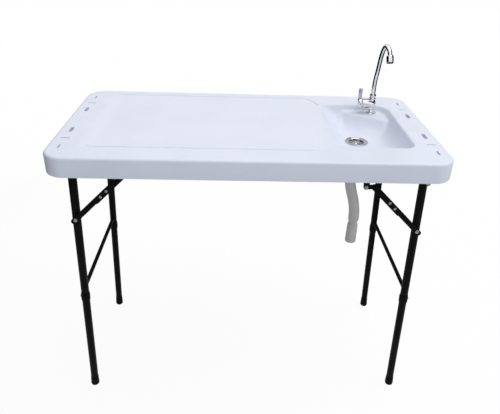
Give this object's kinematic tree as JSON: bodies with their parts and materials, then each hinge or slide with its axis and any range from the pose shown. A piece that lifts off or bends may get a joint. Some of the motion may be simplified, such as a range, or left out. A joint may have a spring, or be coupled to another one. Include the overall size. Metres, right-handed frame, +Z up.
{
  "type": "folding fish cleaning table",
  "caption": "Folding fish cleaning table: moulded white top with wash basin, faucet, drain hose and knife slots, on two black folding steel leg frames.",
  "frame": {"origin": "on the floor under the middle of the top's outline, between the four feet", "axes": "+X along the table towards the basin end, +Y to the back edge, away from the user, +Z up"},
  "size_m": [1.15, 0.6, 1.1702],
  "materials": {
    "table_plastic": "satin, faintly pebbled moulded polyethylene, cool white",
    "black_powder_coat": "satin black powder coat",
    "black_plastic": "matt black moulded plastic",
    "polished_chrome": "polished chrome plate",
    "drain_stainless": "bright stainless steel",
    "bright_zinc": "bright zinc plated steel",
    "hose_grey": "satin light grey flexible plastic"
  },
  "bodies": {
    "table_top": {"tabletop": "table_plastic", "side_rail_front": "black_powder_coat", "side_rail_rear": "black_powder_coat", "hinge_bolt_front_left": "bright_zinc", "brace_ear_bolt_front_left": "bright_zinc", "hinge_bolt_front_right": "bright_zinc", "brace_ear_bolt_front_right": "bright_zinc", "hinge_bolt_rear_left": "bright_zinc", "brace_ear_bolt_rear_left": "bright_zinc", "hinge_bolt_rear_right": "bright_zinc", "brace_ear_bolt_rear_right": "bright_zinc", "faucet_escutcheon": "polished_chrome", "faucet_body": "polished_chrome", "spout_nut": "polished_chrome", "faucet_lock_nut": "bright_zinc", "drain_strainer": "drain_stainless", "drain_nut": "black_plastic", "drain_tailpiece": "black_plastic", "hose_clamp": "bright_zinc", "drain_hose": "hose_grey", "hose_cuff": "hose_grey"},
    "left_leg_frame": {"hinge_tube_left": "black_powder_coat", "upper_leg_front_left": "black_powder_coat", "lower_leg_front_left": "black_powder_coat", "leg_coupler_front_left": "black_plastic", "foot_cap_front_left": "black_plastic", "leg_bolt_front_left": "bright_zinc", "upper_leg_rear_left": "black_powder_coat", "lower_leg_rear_left": "black_powder_coat", "leg_coupler_rear_left": "black_plastic", "foot_cap_rear_left": "black_plastic", "leg_bolt_rear_left": "bright_zinc", "crossbar_left": "black_powder_coat"},
    "right_leg_frame": {"hinge_tube_right": "black_powder_coat", "upper_leg_front_right": "black_powder_coat", "lower_leg_front_right": "black_powder_coat", "leg_coupler_front_right": "black_plastic", "foot_cap_front_right": "black_plastic", "leg_bolt_front_right": "bright_zinc", "upper_leg_rear_right": "black_powder_coat", "lower_leg_rear_right": "black_powder_coat", "leg_coupler_rear_right": "black_plastic", "foot_cap_rear_right": "black_plastic", "leg_bolt_rear_right": "bright_zinc", "crossbar_right": "black_powder_coat"},
    "brace_lower_link_front_left": {"brace_lower_front_left": "black_powder_coat", "brace_rivet_front_left": "bright_zinc"},
    "brace_upper_link_front_left": {"brace_upper_front_left": "black_powder_coat"},
    "brace_lower_link_rear_left": {"brace_lower_rear_left": "black_powder_coat", "brace_rivet_rear_left": "bright_zinc"},
    "brace_upper_link_rear_left": {"brace_upper_rear_left": "black_powder_coat"},
    "brace_lower_link_front_right": {"brace_lower_front_right": "black_powder_coat", "brace_rivet_front_right": "bright_zinc"},
    "brace_upper_link_front_right": {"brace_upper_front_right": "black_powder_coat"},
    "brace_lower_link_rear_right": {"brace_lower_rear_right": "black_powder_coat", "brace_rivet_rear_right": "bright_zinc"},
    "brace_upper_link_rear_right": {"brace_upper_rear_right": "black_powder_coat"},
    "swivel_spout": {"spout": "polished_chrome", "spout_aerator": "polished_chrome"},
    "tap_lever": {"faucet_lever": "polished_chrome"}
  },
  "joints": [
    {"name": "left_fold", "type": "hinge", "parent": "table_top", "child": "left_leg_frame", "pos_m": [-0.5128, 0, 0.886], "axis": [0, -1, 0], "range_deg": [0, 92.8]},
    {"name": "right_fold", "type": "hinge", "parent": "table_top", "child": "right_leg_frame", "pos_m": [0.5128, 0, 0.86], "axis": [0, 1, 0], "range_deg": [0, 92.2]},
    {"name": "brace_foot_front_left", "type": "hinge", "parent": "left_leg_frame", "child": "brace_lower_link_front_left", "pos_m": [-0.51966, -0.24, 0.71013], "axis": [0, -1, 0], "range_deg": [0, 42]},
    {"name": "brace_elbow_front_left", "type": "hinge", "parent": "brace_lower_link_front_left", "child": "brace_upper_link_front_left", "pos_m": [-0.435, -0.243, 0.794], "axis": [0, -1, 0], "range_deg": [-183, 0]},
    {"name": "brace_foot_rear_left", "type": "hinge", "parent": "left_leg_frame", "child": "brace_lower_link_rear_left", "pos_m": [-0.51966, 0.24, 0.71013], "axis": [0, -1, 0], "range_deg": [0, 42]},
    {"name": "brace_elbow_rear_left", "type": "hinge", "parent": "brace_lower_link_rear_left", "child": "brace_upper_link_rear_left", "pos_m": [-0.435, 0.243, 0.794], "axis": [0, -1, 0], "range_deg": [-183, 0]},
    {"name": "brace_foot_front_right", "type": "hinge", "parent": "right_leg_frame", "child": "brace_lower_link_front_right", "pos_m": [0.51966, -0.24, 0.68413], "axis": [0, 1, 0], "range_deg": [0, 42]},
    {"name": "brace_elbow_front_right", "type": "hinge", "parent": "brace_lower_link_front_right", "child": "brace_upper_link_front_right", "pos_m": [0.435, -0.243, 0.768], "axis": [0, 1, 0], "range_deg": [-183, 0]},
    {"name": "brace_foot_rear_right", "type": "hinge", "parent": "right_leg_frame", "child": "brace_lower_link_rear_right", "pos_m": [0.51966, 0.24, 0.68413], "axis": [0, 1, 0], "range_deg": [0, 42]},
    {"name": "brace_elbow_rear_right", "type": "hinge", "parent": "brace_lower_link_rear_right", "child": "brace_upper_link_rear_right", "pos_m": [0.435, 0.243, 0.768], "axis": [0, 1, 0], "range_deg": [-183, 0]},
    {"name": "spout_swivel", "type": "hinge", "parent": "table_top", "child": "swivel_spout", "pos_m": [0.432, 0.17, 0.975], "axis": [0, 0, 1], "range_deg": [-150, 150]},
    {"name": "lever_turn", "type": "hinge", "parent": "table_top", "child": "tap_lever", "pos_m": [0.389, 0.17, 0.956], "axis": [1, 0, 0], "range_deg": [0, 90]}
  ],
  "couplings": [
    {"joint": "brace_foot_front_left", "follows": "left_fold", "ratio": 0.43861},
    {"joint": "brace_elbow_front_left", "follows": "left_fold", "ratio": -1.9598},
    {"joint": "brace_foot_rear_left", "follows": "left_fold", "ratio": 0.43861},
    {"joint": "brace_elbow_rear_left", "follows": "left_fold", "ratio": -1.9598},
    {"joint": "brace_foot_front_right", "follows": "right_fold", "ratio": 0.43586},
    {"joint": "brace_elbow_front_right", "follows": "right_fold", "ratio": -1.9629},
    {"joint": "brace_foot_rear_right", "follows": "right_fold", "ratio": 0.43586},
    {"joint": "brace_elbow_rear_right", "follows": "right_fold", "ratio": -1.9629}
  ]
}
